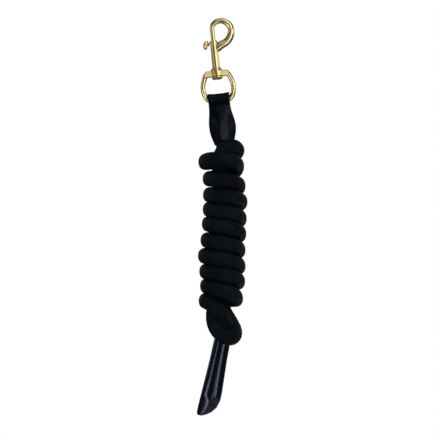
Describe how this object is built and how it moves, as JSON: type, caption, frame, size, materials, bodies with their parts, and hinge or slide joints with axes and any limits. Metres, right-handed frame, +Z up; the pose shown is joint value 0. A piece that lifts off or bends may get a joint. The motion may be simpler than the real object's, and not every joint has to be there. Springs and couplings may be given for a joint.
{
  "type": "lead rope",
  "caption": "Horse lead rope: brass bolt snap with a swivel eye, sewn leather tab, braided rope wound into a hank, leather-covered tail.",
  "frame": {"origin": "inner top seat of the snap's hook, where the rope hangs from a peg, ring or rail", "axes": "+Z up, as it hangs; -Y towards a viewer who sees the hook open to the right (+X)"},
  "size_m": [0.0494, 0.0592, 0.3982],
  "materials": {
    "brass": "polished",
    "spring_steel": "bright drawn wire",
    "black_leather": "smooth gloss",
    "black_thread": "waxed",
    "black_rope": "soft braid",
    "whipping_twine": "waxed twine"
  },
  "bodies": {
    "snap": {"snap_hook": "brass", "swivel_stud": "brass", "bolt_spring": "spring_steel"},
    "bolt": {"slide_bolt": "brass", "thumb_knob": "brass"},
    "eye": {"swivel_eye": "brass"},
    "lead": {"leather_tab": "black_leather", "tab_bar_stitching": "black_thread", "tab_left_stitching": "black_thread", "tab_right_stitching": "black_thread", "rope_whipping": "whipping_twine", "rope_lead_in": "black_rope", "rope_top_turn": "black_rope", "rope_hank": "black_rope", "rope_bight": "black_rope", "rope_tail_run": "black_rope", "rope_tail_core": "black_rope", "leather_end": "black_leather", "end_stitching": "black_thread"}
  },
  "joints": [
    {"name": "bolt_slide", "type": "slide", "parent": "snap", "child": "bolt", "axis": [0.1045, 0, -0.9945], "range_m": [0, 0.0105], "stiffness_N_per_m": 300, "springref_m": -0.006, "deforming": ["bolt_spring"]},
    {"name": "eye_swivel", "type": "hinge", "parent": "snap", "child": "eye", "pos_m": [-0.0036, 0, -0.0465], "axis": [-0.1045, 0, 0.9945], "continuous": true},
    {"name": "tab_hinge", "type": "hinge", "parent": "eye", "child": "lead", "pos_m": [-0.00047, 0, -0.07624], "axis": [0.9945, 0, 0.1045], "range_deg": [-100, 100]}
  ]
}
